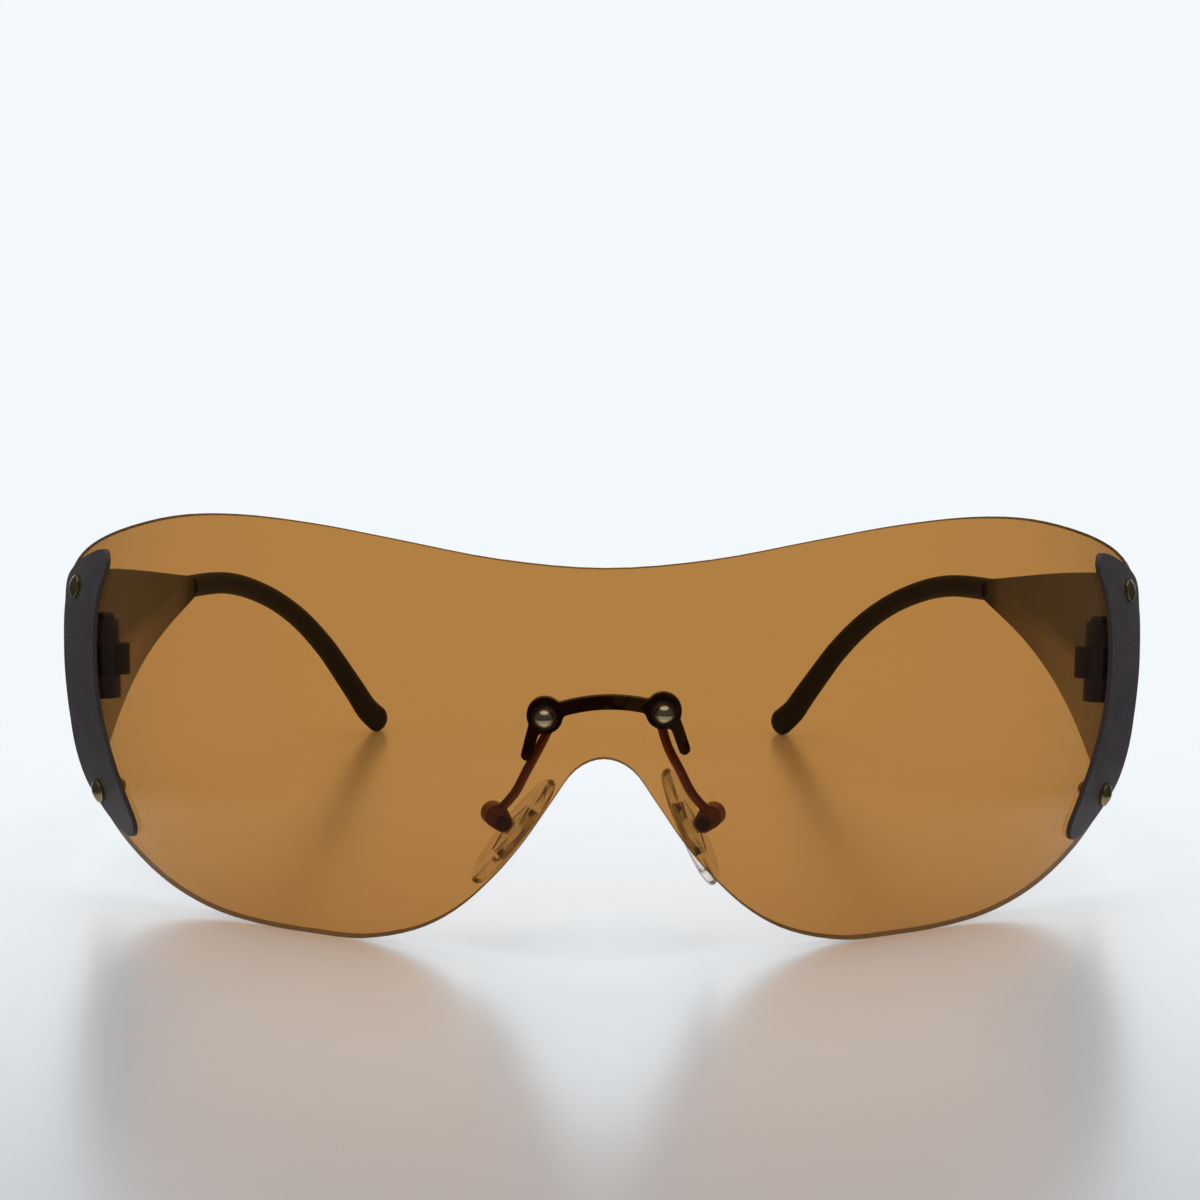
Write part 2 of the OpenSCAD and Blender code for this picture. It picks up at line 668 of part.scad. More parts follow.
// In the pad box's frame Y runs along the screw and X points away from the nose
module at_pad_box(left) {
    mirrored(left) translate([pad_half, pad_depth, pad_h]) rotate([0, 0, -pad_splay])
        children();
}
// In the pad's frame Z runs along the pad as well
module at_pad(left) {
    at_pad_box(left) rotate([0, -lean_of(left), 0]) children();
}
lobe = [0.7, 0.8];
lobe_r = 1.4;
slot_t = tang_t + 2 * run_gap;
slot_r = box_r + 0.2;
lobe_world = [pad_half + lobe[0] * cos(pad_splay), pad_depth - lobe[0] * sin(pad_splay),
    pad_h + lobe[1]];
// Place of a point given from the middle between the bridge screws, in the bridge's lean
function leant(p, left) = let (a = left ? -bridge_roll : bridge_roll)
    [p[0] * cos(a) - p[1] * sin(a), bridge_h + p[0] * sin(a) + p[1] * cos(a)];
// The wire starts in a socket in the bracket's back and ends in the box's lobe
bracket_back_y = lens_r - bracket_inner * cos(bridge_wrap) * cos(bridge_slope);
function arm_start(left, back) = let (p = leant([bridge_half - 0.25, -1.74], left))
    [p[0], bracket_back_y + back, p[1]];
function arm_line(left) = open_curve([
    arm_start(left, -0.6), arm_start(left, 0.5), arm_start(left, 1.2) + [0.1, 0, -0.5],
    [bridge_half + 0.7, 5.7, bridge_h - 4.5], [bridge_half + 2.2, 7, bridge_h - 7.5],
    [bridge_half + 3.7, 8.4, bridge_h - 10.5], lobe_world
], 3);
module arm_socket(left, gap) {
    start = arm_start(left, -0.6 - gap);
    translate(start) rotate([-90, 0, 0]) cylinder(h = 3, d = arm_d + 2 * gap);
}
module pad_arm(left) {
    line = arm_line(left);
    half = [for (p = line) arm_d / 2];
    color(gunmetal) placed() difference() {
        union() {
            mirrored(left) swept(line, half, half, 12);
            at_pad_box(left) translate([0, box_d / 2, 0]) rotate([90, 0, 0])
                linear_extrude(box_d) hull() {
                    circle(r = box_r);
                    translate(lobe) circle(r = lobe_r);
                }
        }
        at_pad_box(left) {
            // Slot for the tang, open towards the pad
            translate([0, slot_t / 2, 0]) rotate([90, 0, 0]) cylinder(h = slot_t, r = slot_r);
            translate([-5, -slot_t / 2, -5]) cube([5.4, slot_t, 5 + slot_r]);
            translate([0, 5, 0]) rotate([90, 0, 0])
                cylinder(h = 10, d = pad_screw_d + 2 * hold_gap);
        }
    }
}
module pad_screws() {
    pad_head_h = 0.45;
    color(silver) placed() for (left = [false, true]) at_pad_box(left) {
        translate([0, box_d / 2 + 0.2, 0]) rotate([90, 0, 0])
            cylinder(h = box_d + 0.3, d = pad_screw_d);
        translate([0, -box_d / 2 - seat_gap, 0]) rotate([90, 0, 0])
            cylinder(h = pad_head_h, d = pad_head_d);
    }
}
pad_mid_x = -(box_r + pad_gap + pad_t / 2);
lozenge_t = 0.8;
// Pad core: a lozenge in the pad's middle, and a tang with the screw's bore
module core_body(gap) {
    half_l = 3.25 + gap;
    half_w = 1.6 + gap;
    translate([pad_mid_x - lozenge_t / 2 - gap, 0, 0]) rotate([90, 0, 90])
        linear_extrude(lozenge_t + 2 * gap)
            polygon([[half_w, 0.6], [0.5, half_l], [-0.5, half_l], [-half_w, 0.6],
                [-half_w, -0.6], [-0.5, -half_l], [0.5, -half_l], [half_w, -0.6]]);
    translate([pad_mid_x, -tang_t / 2 - gap, -0.9 - gap])
        cube([-pad_mid_x, tang_t + 2 * gap, 1.8 + 2 * gap]);
}
module pad_core(left) {
    color(clear) placed() at_pad(left) difference() {
        union() {
            core_body(0);
            translate([0, tang_t / 2, 0]) rotate([90, 0, 0]) cylinder(h = tang_t, r = 1);
        }
        translate([0, 5, 0]) rotate([90, 0, 0]) cylinder(h = 10, d = pad_screw_d + 2 * run_gap);
    }
}
// Pad: ovals stacked from the flat outer face to the crowned face on the nose's side
module nose_pad(left) {
    sides = 32;
    // Depth through the pad, and the oval's shrink from its full size
    layers = [[0, 0.9], [0.2, 0.3], [0.5, 0], [0.7, 0.1], [0.88, 0.7], [1, 2]];
    function oval(shrink) = [for (k = [0 : sides - 1]) let (a = 360 * k / sides)
        [(pad_w / 2 - shrink) * sign(cos(a)) * pow(abs(cos(a)), 0.85),
            (pad_l / 2 - shrink) * sign(sin(a)) * pow(abs(sin(a)), 0.85)]];
    n = len(layers);
    points = [for (layer = layers, p = oval(layer[1]))
        [pad_mid_x + pad_t * (0.5 - layer[0]), p[0], p[1]]];
    color(clear) placed() at_pad(left) difference() {
        polyhedron(points = points, faces = concat(
            [[for (k = [0 : sides - 1]) k]],
            [for (i = [0 : n - 2], k = [0 : sides - 1]) let (m = (k + 1) % sides)
                [i * sides + k, (i + 1) * sides + k, i * sides + m]],
            [for (i = [0 : n - 2], k = [0 : sides - 1]) let (m = (k + 1) % sides)
                [i * sides + m, (i + 1) * sides + k, (i + 1) * sides + m]],
            [[for (k = [sides - 1 : -1 : 0]) (n - 1) * sides + k]]), convexity = 4);
        core_body(seat_gap);
    }
}

shield_lens();
bridge_bracket();
bridge_screws();
bridge_cap_nuts();
bridge_bushings();
pad_arm(true);  // pad_arm_left
pad_arm(false);  // pad_arm_right
pad_screws();
side_plate(true);  // side_plate_left
side_plate(false);  // side_plate_right
plate_screws(true);  // plate_screws_left
plate_screws(false);  // plate_screws_right
plate_washers(true);  // plate_washers_left
plate_washers(false);  // plate_washers_right
plate_nuts(true);  // plate_nuts_left
plate_nuts(false);  // plate_nuts_right
hinge_front(true);  // hinge_front_left
hinge_front(false);  // hinge_front_right
hinge_screw(true);  // hinge_screw_left
hinge_screw(false);  // hinge_screw_right
hinge_leaf(true);  // hinge_leaf_left
hinge_leaf(false);  // hinge_leaf_right
temple(true);  // temple_left
temple(false);  // temple_right
tip_sleeve(true);  // tip_sleeve_left
tip_sleeve(false);  // tip_sleeve_right
nose_pad(true);  // nose_pad_left
nose_pad(false);  // nose_pad_right
pad_core(true);  // pad_core_left
pad_core(false);  // pad_core_right
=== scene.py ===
# %% [markdown]
# # Shield sunglasses in Blender
# The glasses are one amber lens with everything screwed to it. Their shapes and joints come
# from a packed CAD model, so this script only adds the finishes, the light and the camera,
# and rebuilds the soft nose pads, whose rounded form a CAD solid leaves plain.

# %% Load the packed model
from math import cos, pi, radians, sin, sqrt

import bmesh
import bpy
from mathutils import Matrix, Vector


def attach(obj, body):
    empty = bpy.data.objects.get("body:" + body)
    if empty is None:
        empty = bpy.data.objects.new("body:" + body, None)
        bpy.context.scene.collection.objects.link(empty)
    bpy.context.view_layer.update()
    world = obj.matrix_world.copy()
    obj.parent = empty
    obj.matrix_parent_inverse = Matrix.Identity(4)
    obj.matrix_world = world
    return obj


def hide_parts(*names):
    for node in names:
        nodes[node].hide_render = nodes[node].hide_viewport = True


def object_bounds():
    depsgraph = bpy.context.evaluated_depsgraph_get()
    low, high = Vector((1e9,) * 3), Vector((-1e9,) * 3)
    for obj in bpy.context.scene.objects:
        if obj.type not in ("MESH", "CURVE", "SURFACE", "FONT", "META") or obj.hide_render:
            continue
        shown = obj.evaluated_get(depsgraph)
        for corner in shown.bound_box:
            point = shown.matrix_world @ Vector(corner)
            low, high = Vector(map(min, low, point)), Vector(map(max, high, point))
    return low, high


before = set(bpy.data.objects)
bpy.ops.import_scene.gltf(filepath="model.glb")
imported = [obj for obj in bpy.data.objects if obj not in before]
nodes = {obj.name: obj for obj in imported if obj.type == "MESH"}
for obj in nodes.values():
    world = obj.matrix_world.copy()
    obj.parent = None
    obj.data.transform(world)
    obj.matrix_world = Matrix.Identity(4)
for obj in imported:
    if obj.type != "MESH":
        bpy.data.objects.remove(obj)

scene = bpy.context.scene
MM = 0.001
SIDES = ("left", "right")
scene.view_settings.view_transform = "Standard"


def corners(box):
    """Both corners of a box as plain lists of numbers."""
    return [[float(v) for v in corner] for corner in box]


cad_box = corners(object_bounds())
print("nodes:", len(nodes), "box in mm:", [[round(v * 1000, 1) for v in c] for c in cad_box])

# %% [markdown]
# ## Camera
# The picture was taken from just above the brow, about 20 cm in front of the lens, which is
# why the tips look so small. A camera is fitted by hand or solved from known points. Here it
# was solved, so its place and tilt are written as plain numbers.

# %% Camera
SENSOR_MM = 36.0
FRAME_PX = 1200
FOCAL_PX = 1820
PLACE_MM = (-1.27, -277.64, 61.5)
TURN, DOWN, ROLL = -0.21, 5.71, 0.25
camera = bpy.data.objects.new("camera", bpy.data.cameras.new("camera"))
scene.collection.objects.link(camera)
scene.camera = camera
camera.data.sensor_width = SENSOR_MM
camera.data.lens = FOCAL_PX * SENSOR_MM / FRAME_PX
camera.data.clip_start = 0.01
camera.matrix_world = (
    Matrix.Translation([v * MM for v in PLACE_MM])
    @ Matrix.Rotation(radians(TURN), 4, "Z")
    @ Matrix.Rotation(radians(90 - DOWN), 4, "X")
    @ Matrix.Rotation(radians(ROLL), 4, "Z")
)
print("lens of the camera in mm:", round(camera.data.lens, 1))

# %% [markdown]
# ## Writing shaders as sums
# A finish mixes a few patterns, and wiring each one by hand hides the idea. A small class
# around a socket lets Python's own operators add the Math nodes, so that a mask reads like
# arithmetic. Colours go through Mix nodes, because Math nodes would turn them grey.

# %% A socket that can be added and multiplied
class Value:
    """One output socket of a node tree, with arithmetic."""

    def __init__(self, paint, socket):
        self.paint = paint
        self.socket = socket

    def _math(self, operation, first, second):
        return self.paint.node(
            "ShaderNodeMath", {"operation": operation}, {0: first, 1: second}
        )

    def __add__(self, other):
        return self._math("ADD", self, other)

    def __radd__(self, other):
        return self._math("ADD", other, self)

    def __sub__(self, other):
        return self._math("SUBTRACT", self, other)

    def __rsub__(self, other):
        return self._math("SUBTRACT", other, self)

    def __mul__(self, other):
        return self._math("MULTIPLY", self, other)

    def __rmul__(self, other):
        return self._math("MULTIPLY", other, self)

    def __truediv__(self, other):
        return self._math("DIVIDE", self, other)

    def at_most(self, other):
        return self._math("MINIMUM", self, other)

    def at_least(self, other):
        return self._math("MAXIMUM", self, other)

    def clamped(self):
        return self.at_least(0.0).at_most(1.0)

    def ramp(self, start, end):
        """0 at the start and 1 at the end, straight in between and level outside."""
        return ((self - start) / (end - start)).clamped()


print("Value:", ", ".join(name for name in vars(Value) if not name.startswith("_")))


# %% A tree that nodes are added to
class Paint:
    """The node tree of a material or of the world."""

    def __init__(self, tree):
        self.tree = tree
        tree.nodes.clear()

    def node(self, kind, settings=None, values=None, output=0):
        """Adds a node: its kind, its settings, what its inputs hold, and the output wanted."""
        made = self.tree.nodes.new(kind)
        for name, setting in (settings or {}).items():
            setattr(made, name, setting)
        for name, value in (values or {}).items():
            socket = made.inputs[name]
            if isinstance(value, Value):
                self.tree.links.new(value.socket, socket)
            elif isinstance(value, (tuple, list)) and socket.type == "RGBA":
                socket.default_value = (*value[:3], 1.0)
            else:
                socket.default_value = value
        return Value(self, made.outputs[output]) if made.outputs else made

    def vector(self, operation, first, second, output=0):
        return self.node(
            "ShaderNodeVectorMath", {"operation": operation}, {0: first, 1: second}, output
        )

    def mix(self, factor, first, second):
        """A colour between two colours."""
        return self.node(
            "ShaderNodeMix", {"data_type": "RGBA"}, {0: factor, 6: first, 7: second}, 2
        )

    def place(self):
        """The point on the piece, in millimetres of the CAD frame."""
        metres = self.node("ShaderNodeTexCoord", output=3)
        return self.vector("MULTIPLY", metres, (1000.0, 1000.0, 1000.0))

    def axis(self, number):
        """One coordinate of that point."""
        return self.node("ShaderNodeSeparateXYZ", None, {0: self.place()}, number)

    def stretched(self, x, y, z):
        """That point with each axis scaled, for patterns that are drawn out one way."""
        return self.vector("MULTIPLY", self.place(), (x, y, z))

    def noise(self, scale, detail=2.0, vector=None):
        """A cloudy pattern about 0.5, with smaller clouds where the scale is larger."""
        return self.node(
            "ShaderNodeTexNoise",
            None,
            {"Vector": vector or self.place(), "Scale": scale, "Detail": detail},
        )

    def rounded(self, radius_mm):
        """The surface's direction as if its edges were rounded."""
        return self.node("ShaderNodeBevel", {"samples": 6}, {"Radius": radius_mm * MM})

    def edges(self, radius_mm):
        """1 on sharp edges and 0 on flat faces."""
        plain = self.node("ShaderNodeNewGeometry", output=1)
        alike = self.vector("DOT_PRODUCT", plain, self.rounded(radius_mm), 1)
        return ((1.0 - alike) * 5.0).clamped()

    def bump(self, height, depth_mm, strength=1.0, normal=None):
        """The surface's direction as if a pattern of heights were pressed into it."""
        values = {"Height": height, "Distance": depth_mm * MM, "Strength": strength}
        if normal:
            values["Normal"] = normal
        return self.node("ShaderNodeBump", None, values)


def new_finish(name):
    """An empty material and the tree that its nodes go into."""
    material = bpy.data.materials.new(name)
    material.use_nodes = True
    return material, Paint(material.node_tree)


def painted(paint, **values):
    """Adds the Principled shader and the output. Underscores in names stand for spaces."""
    shader = paint.node(
        "ShaderNodeBsdfPrincipled", None, {k.replace("_", " "): v for k, v in values.items()}
    )
    paint.node("ShaderNodeOutputMaterial", None, {"Surface": shader})


def dress(material, *names):
    """Gives CAD nodes a finish."""
    for name in names:
        slots = nodes[name].data.materials
        slots.clear()
        slots.append(material)
    print(material.name, "->", ", ".join(names))


def both(*stems):
    """The names of the left and right pieces."""
    return [f"{stem}_{side}" for stem in stems for side in SIDES]


print("Paint:", ", ".join(name for name in vars(Paint) if not name.startswith("_")))

# %% [markdown]
# Two finishes need to know a cut edge from a face. The lens and the plates are shells about
# one centre, and their edges are cut square, so the angle to that centre tells. The centre is
# the one from which the CAD model's lens was drawn.

# %% Faces and cut edges
LENS_CENTRE_MM = (0.0, 6.26, 25.5)


def cut_edge(paint, limit):
    """1 on edges cut square, 0 on surfaces that face the centre of the lens's sphere."""
    outwards = paint.vector(
        "NORMALIZE", paint.vector("SUBTRACT", paint.place(), LENS_CENTRE_MM), (0.0, 0.0, 0.0))
    cosine = paint.vector("DOT_PRODUCT", outwards, paint.node("ShaderNodeTexCoord", output=1), 1)
    return ((limit - cosine * cosine) * 4.0).clamped()


print("centre of the lens's sphere in mm:", LENS_CENTRE_MM)

# %% [markdown]
# ## Room, floor and light
# The glasses stand on a pale satin table in front of a backdrop of the same tone, and most of
# the light comes from all around. A white room could be modelled, but a world of one colour
# gives the same soft light at once. Rays from the camera, and those that mirrors and glass
# send on, see the backdrop's own colour. Everything outside the picture is dark to rays that
# a surface has mirrored, as if grey cards stood round the glasses: they keep the lens free of
# pale reflections and give the metal its dark tones.

# %% World
BACKDROP = (0.900, 0.943, 0.975)
CARD = (0.08, 0.08, 0.085)
DAYLIGHT, DAYLIGHT_STRENGTH = (0.95, 0.98, 1.0), 0.76
CARDS_TOP, CARDS_BACK, CARDS_BLUR = 0.72, 0.86, 6.0
world = bpy.data.worlds.new("studio")
scene.world = world
world.use_nodes = True
sky = Paint(world.node_tree)


def ray(paint, kind):
    """1 for rays of one kind. Mirrored: 1 for rays that a surface has thrown back before."""
    names = {"Camera": 0, "Shadow": 1, "Glossy": 3, "Transmission": 6, "Mirrored": 11}
    return paint.node("ShaderNodeLightPath", output=names[kind]).clamped()


direction = sky.node("ShaderNodeTexCoord", output=0)
facing = sky.node("ShaderNodeSeparateXYZ", None, {0: direction}, 1)
upwards = sky.node("ShaderNodeSeparateXYZ", None, {0: direction}, 2)
open_top = ((upwards - CARDS_TOP) * CARDS_BLUR).clamped()
cards = ((CARDS_BACK - facing) * CARDS_BLUR).clamped() * (1.0 - open_top)
shown = (ray(sky, "Camera") + ray(sky, "Glossy") + ray(sky, "Transmission")).clamped()
mirrored = sky.node("ShaderNodeBackground", None, {
    "Color": sky.mix(ray(sky, "Mirrored") * cards, BACKDROP, CARD), "Strength": 1.0})
lighting = sky.node("ShaderNodeBackground", None, {
    "Color": DAYLIGHT, "Strength": DAYLIGHT_STRENGTH})
sky.node("ShaderNodeOutputWorld", None, {
    "Surface": sky.node("ShaderNodeMixShader", None, {0: shown, 1: lighting, 2: mirrored})})
print("world:", len(world.node_tree.nodes), "nodes")

# %% [markdown]
# The table looks like pale brushed metal: its reflections are soft and drawn out towards the
# viewer. One square is enough for it. Its colour darkens towards the front edge, a painted
# shade for the dimmer light and the weaker reflection near the camera, and it fades into the
# backdrop on all sides, so that no horizon shows. Where it lies outside the picture it is as
# dark to mirrored rays as the cards.

# %% Floor
FLOOR_HALF_WIDTH = 2.5
floor_mesh = bpy.data.meshes.new("floor")
floor_mesh.from_pydata(
    [(x * FLOOR_HALF_WIDTH, y * FLOOR_HALF_WIDTH, 0)
     for x, y in ((-1, -1), (1, -1), (1, 1), (-1, 1))],
    [], [(0, 1, 2, 3)])
floor = bpy.data.objects.new("floor", floor_mesh)
floor.location.z = min(cad_box[0][2], 0.0)
scene.collection.objects.link(floor)
print("floor at", round(floor.location.z * 1000, 2), "mm")

# %% Satin table: from where to where it changes, in millimetres
# Painted shade: the table's colour darkens over this span towards the front.
DARKER_FRONT = (-55.0, -165.0)
FADE_BACK, FADE_FRONT, FADE_SIDE = (20.0, 400.0), (-140.0, -260.0), (150.0, 287.23)
PICTURE_FRONT, PICTURE_SIDE = (-150.0, -180.0), (100.0, 115.0)
PICTURE_WIDENS = 0.33
TABLE_DULL, TABLE_PALE = (0.89, 0.905, 0.925), (0.945, 0.96, 0.975)
# Painted shade: the table's colour at the front edge.
TABLE_FRONT_SHADE = (0.53, 0.53, 0.54)
table, paint = new_finish("satin_table")
across, along = paint.axis(0), paint.axis(1)
sideways = across.at_least(across * -1.0)
outside = along.ramp(*PICTURE_FRONT).at_least(
    (sideways - along * PICTURE_WIDENS).ramp(*PICTURE_SIDE))
hidden = outside * ray(paint, "Mirrored")
side_fade = (across * across).ramp(*(mm ** 2 for mm in FADE_SIDE))
fade = along.ramp(*FADE_BACK).at_least(along.ramp(*FADE_FRONT)).at_least(side_fade)
grain = paint.noise(1.0, 3.0, paint.stretched(0.10, 2.4, 1.0))
pale = paint.mix(grain, TABLE_DULL, TABLE_PALE)
# Painted shade towards the front edge, over the grained colour.
painted_front_shade = paint.mix(along.ramp(*DARKER_FRONT), pale, TABLE_FRONT_SHADE)
surface = paint.node("ShaderNodeBsdfPrincipled", None, {
    "Base Color": paint.mix(hidden, painted_front_shade, CARD),
    "Metallic": 0.42,
    "Roughness": 0.24 + grain * 0.04,
    "IOR": 1.6,
    "Normal": paint.bump(grain, 0.012, 0.10),
})
haze = paint.node("ShaderNodeEmission", None, {"Color": BACKDROP, "Strength": 1.0})
paint.node("ShaderNodeOutputMaterial", None, {
    "Surface": paint.node(
        "ShaderNodeMixShader", None, {0: fade * (1.0 - hidden), 1: surface, 2: haze})})
floor_mesh.materials.append(table)
print(table.name, "fades between", FADE_BACK, "mm behind the glasses")


# %% Lamps
def softbox(name, watts, size, place, target=(0.0, 0.0, 0.02)):
    """A square lamp that faces a point. Mirrors and glass don't show it."""
    lamp = bpy.data.objects.new(name, bpy.data.lights.new(name, "AREA"))
    lamp.data.energy = watts
    lamp.data.size = size
    lamp.location = place
    aim = Vector(target) - Vector(place)
    lamp.rotation_euler = aim.to_track_quat("-Z", "Y").to_euler()
    lamp.visible_glossy = False
    lamp.visible_transmission = False
    scene.collection.objects.link(lamp)
    print(name, watts, "W")


softbox("overhead", watts=3.2, size=0.9, place=(0.0, 0.15, 0.95))
softbox("left_window", watts=1.1, size=0.5, place=(-0.75, -0.35, 0.5))
softbox("right_fill", watts=0.8, size=0.5, place=(0.8, -0.1, 0.45))

# %% [markdown]
# ## The lens
# The lens is a sheet of amber plastic, two millimetres thick. What lies behind it is not
# dimmed to grey but multiplied by the tint, so alpha cannot give this look. Real glass with
# a coloured transmission does. Its faces are coated, so they mirror only a quarter of what
# bare plastic would, which the specular tint says. Its cut edge is ground matt and looks
# dark, because light that enters there runs a long way through the tint. The edge is found
# where the surface does not face the centre of the lens's sphere. Lamps cannot shine through
# glass without slow caustics, so for their shadow rays a clear shader of the same tint takes
# its place.

# %% Amber lens
AMBER, GROUND_EDGE = (0.490, 0.229, 0.060), (0.10, 0.045, 0.015)
COATING, LENS_INDEX = (0.25, 0.25, 0.25), 1.49
amber, paint = new_finish("amber_lens")
edge = cut_edge(paint, 0.7)
ripple = paint.noise(0.08, 1.0)
glass = paint.node("ShaderNodeBsdfPrincipled", None, {
    "Base Color": paint.mix(edge, AMBER, GROUND_EDGE),
    "Roughness": edge * 0.6,
    "IOR": LENS_INDEX,
    "Specular Tint": COATING,
    "Transmission Weight": 1.0,
    "Normal": paint.bump(ripple, 0.02, 0.3),
})
lit = paint.node("ShaderNodeBsdfTransparent", None, {"Color": tuple(sqrt(c) for c in AMBER)})
paint.node("ShaderNodeOutputMaterial", None, {"Surface": paint.node(
    "ShaderNodeMixShader", None, {0: ray(paint, "Shadow"), 1: glass, 2: lit})})
dress(amber, "shield_lens")

# %% [markdown]
# ## Metal
# The plates, hinges, bracket and wires share one dark satin plating. Plating is never quite
# even: it takes fingerprints, has a fine tumbled grain and rubs off a little on the edges.
# The edges are found by comparing the surface's direction with a rounded copy of it. On the
# bent wires of the pad arms the plating is thinner, and the copper under it shows through.

# %% Gunmetal plating: two tones each, thick and thin
GUNMETAL = (0.052, 0.046, 0.044), (0.084, 0.075, 0.073)
GUNMETAL_PLATES = (0.080, 0.070, 0.072), (0.136, 0.122, 0.126)
COPPERY_WIRE = (0.24, 0.11, 0.08), (0.42, 0.21, 0.15)
RUBBED_EDGE, SAWN_EDGE = (0.11, 0.10, 0.095), (0.055, 0.050, 0.048)


def gunmetal_finish(name, tones, sawn=0.0):
    """The dark plating between two tones. Where sawn is 1, cut edges have their own tone."""
    material, paint = new_finish(name)
    cloud = paint.noise(0.35, 2.0)
    tumbled = paint.noise(9.0, 2.0)
    rubbed = (paint.edges(0.12) * (0.3 + cloud)).clamped()
    walls = cut_edge(paint, 0.6) * sawn
    worn_plating = paint.mix(rubbed, paint.mix(cloud, *tones), RUBBED_EDGE)
    painted(
        paint,
        Base_Color=paint.mix(walls, worn_plating, SAWN_EDGE),
        Metallic=0.6 - walls * 0.45,
        Roughness=0.36 + cloud * 0.12,
        Specular_Tint=(0.6, 0.57, 0.55),
        Normal=paint.bump(tumbled, 0.006, 0.5, paint.rounded(0.12)),
    )
    return material


dress(gunmetal_finish("gunmetal", GUNMETAL), "bridge_bracket", "bridge_screws",
      *both("hinge_front", "hinge_screw", "hinge_leaf"))
dress(gunmetal_finish("gunmetal_plates", GUNMETAL_PLATES, 1.0), *both("side_plate"))
dress(gunmetal_finish("gunmetal_wire", COPPERY_WIRE), *both("pad_arm"))

# %% [markdown]
# The screws are small, so one cloud of tarnish over bare metal is enough: brass outside,
# silvery cap nuts on the bridge, and almost black little screws in the pad boxes. The cap nuts'
# warm cast is partly their tarnish and partly a painted reflection of the amber lens. A
# picture of worn metal could be wrapped on, but noise needs no seams and no file.

# %% Brass screws
BRASS, POLISHED_BRASS = ((0.22, 0.155, 0.055), (0.46, 0.36, 0.17)), (0.75, 0.66, 0.42)
brass, paint = new_finish("brass_screws")
tarnish = paint.noise(1.2, 3.0)
painted(
    paint,
    Base_Color=paint.mix(paint.edges(0.15), paint.mix(tarnish, *BRASS), POLISHED_BRASS),
    Metallic=1.0,
    Roughness=0.16 + tarnish * 0.14,
    Normal=paint.bump(paint.noise(6.0), 0.004, 0.4, paint.rounded(0.12)),
)
dress(brass, *both("plate_screws", "plate_washers", "plate_nuts"))

# %% Silver cap nuts
# The silver's warm amber cast is a painted reflection of the lens, mixed with tarnish.
SILVER_AND_AMBER_REFLECTION = (0.30, 0.235, 0.13), (0.60, 0.49, 0.31)
silver, paint = new_finish("silver_nuts")
worn = paint.noise(1.5, 2.0)
painted(
    paint,
    Base_Color=paint.mix(worn, *SILVER_AND_AMBER_REFLECTION),
    Metallic=1.0,
    Roughness=0.10 + worn * 0.12,
    Normal=paint.bump(worn, 0.004, 0.3),
)
dress(silver, "bridge_cap_nuts")

# %% Tarnished pad screws
TARNISHED = (0.045, 0.038, 0.030), (0.12, 0.105, 0.085)
tarnished, paint = new_finish("tarnished_screws")
film = paint.noise(3.0, 2.0)
painted(
    paint,
    Base_Color=paint.mix(film, *TARNISHED),
    Metallic=0.9,
    Roughness=0.30 + film * 0.15,
    Normal=paint.bump(film, 0.01, 0.4, paint.rounded(0.1)),
)
dress(tarnished, "pad_screws")

# %% [markdown]
# The temples are pale pewter with a fine brushed grain along their length. A crease runs from
# the neck down to the hinge: above it the metal is flat and looks darker, below it it is
# hollowed and catches the light. The crease could be modelled in the sheet, but it is a tenth
# of a millimetre deep, so a bump map tilts the surface there instead. The colour carries this
# light as well: painted shade above the crease, and painted light below it that grows towards
# the hinge.

# %% Pewter temples: places in millimetres, as reach and height
NECK, HINGE_END = (14.0, 33.6), (-27.0, 26.0)
CREASE_BLUR, HOLLOW_MM, CURL = 1.25, 0.9, 0.035
LIT_FROM, LIT_OVER = 10.0, 26.0
STAIN_FROM, STAIN_RISE = 12.5, 0.35
# Painted shade: two darker tones for the flat part above the crease.
FLAT_SHADED = (0.15, 0.143, 0.125), (0.23, 0.218, 0.19)
# Painted light: two lighter tones for the hollow part below the crease.
HOLLOW_LIT = (0.23, 0.213, 0.18), (0.46, 0.44, 0.39)
BRIGHT_EDGE, STAIN = (0.62, 0.60, 0.54), (0.05, 0.045, 0.04)
pewter, paint = new_finish("pewter_temples")
reach, height = paint.axis(1), paint.axis(2)
rise = (NECK[1] - HINGE_END[1]) / (NECK[0] - HINGE_END[0])
below = (NECK[1] + (reach - NECK[0]) * rise) - height
lower = below.ramp(-CREASE_BLUR, CREASE_BLUR)
under = below.at_least(0.0)
depth = under - under * under * CURL
brushed = paint.noise(1.0, 3.0, paint.stretched(3.0, 0.25, 6.0))
patches = paint.noise(0.12, 2.0)
# Painted light: the hollow part is lit more towards the hinge.
lit_part = ((LIT_FROM - reach) / LIT_OVER + patches * 0.3).clamped()
stained = ((reach - STAIN_FROM + patches * 4.0) * STAIN_RISE).clamped()
# Painted shade above the crease and painted light below it.
faces = paint.mix(lower, paint.mix(patches, *FLAT_SHADED), paint.mix(lit_part, *HOLLOW_LIT))
bright = paint.mix(paint.edges(0.2), faces, BRIGHT_EDGE)
painted(
    paint,
    Base_Color=paint.mix(stained * 0.75, bright, STAIN),
    Metallic=0.6,
    Roughness=0.34 + brushed * 0.12,
    Specular_Tint=(0.6, 0.6, 0.58),
    Normal=paint.bump(
        brushed, 0.006, 0.5,
        paint.bump(depth * 0.25, HOLLOW_MM, 1.0, paint.rounded(0.2))),
)
dress(pewter, *both("temple"))

# %% [markdown]
# The tips are soft charcoal rubber pulled over the temples' ends. Rubber scatters light and
# hardly mirrors it, so its roughness is high and its gloss is turned down. A sheen would also
# soften it, but only adds dust that this pair doesn't show.

